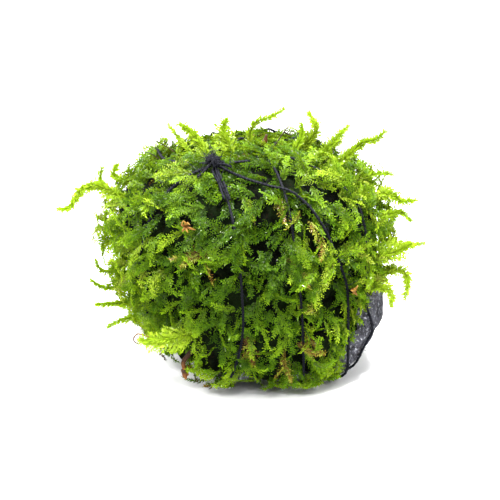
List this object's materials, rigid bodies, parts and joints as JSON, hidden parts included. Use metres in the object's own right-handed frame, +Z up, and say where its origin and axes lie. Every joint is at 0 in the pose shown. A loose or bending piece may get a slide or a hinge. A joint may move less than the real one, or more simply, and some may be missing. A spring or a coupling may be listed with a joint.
{
  "type": "moss-covered lava stone",
  "caption": "Rounded lava stone wrapped in wet, fern-like green aquarium moss held on by wound dark thread, one stone flank left bare; a planted-tank ornament.",
  "frame": {"origin": "a point on the small flat spot under the stone that the piece rests on, under the middle of the body", "axes": "+Z up, away from the resting spot; -Y the front, with the knot and most of the moss; +X to the right as seen from the front, the longest way across"},
  "size_m": [0.1085, 0.0806, 0.082],
  "materials": {
    "lava": "dark grey, pitted, wet",
    "moss": "dense wet green fronds with dark gaps",
    "shoot": "thin wet leaves, yellow-green where light comes through",
    "thread": "twisted dark blue-grey thread",
    "dead": "dry brown stem and leaves"
  },
  "bodies": {
    "root": {"lava_stone": "lava", "moss_mat": "moss", "binding_thread": "thread", "shoot_left_arch": "shoot", "shoot_left_upright_low": "shoot", "shoot_left_upright_high": "shoot", "shoot_top_left_thin": "shoot", "shoot_top_left": "shoot", "tuft_top_left": "shoot", "shoot_top_arch": "shoot", "plume_top_low": "shoot", "plume_top_high": "shoot", "shoot_top_right": "shoot", "shoot_right_arch": "shoot", "shoot_right_high": "shoot", "shoot_right_middle": "shoot", "shoot_right_fork": "shoot", "frond_right_broad": "shoot", "shoot_right_tip": "shoot", "shoot_right_drooping": "shoot", "shoot_right_inner": "shoot", "stem_left_high": "shoot", "stem_left_middle": "shoot", "stem_left_low": "shoot", "stem_left_lowest": "shoot", "frond_lower_left": "shoot", "dead_stem": "dead"}
  },
  "joints": []
}
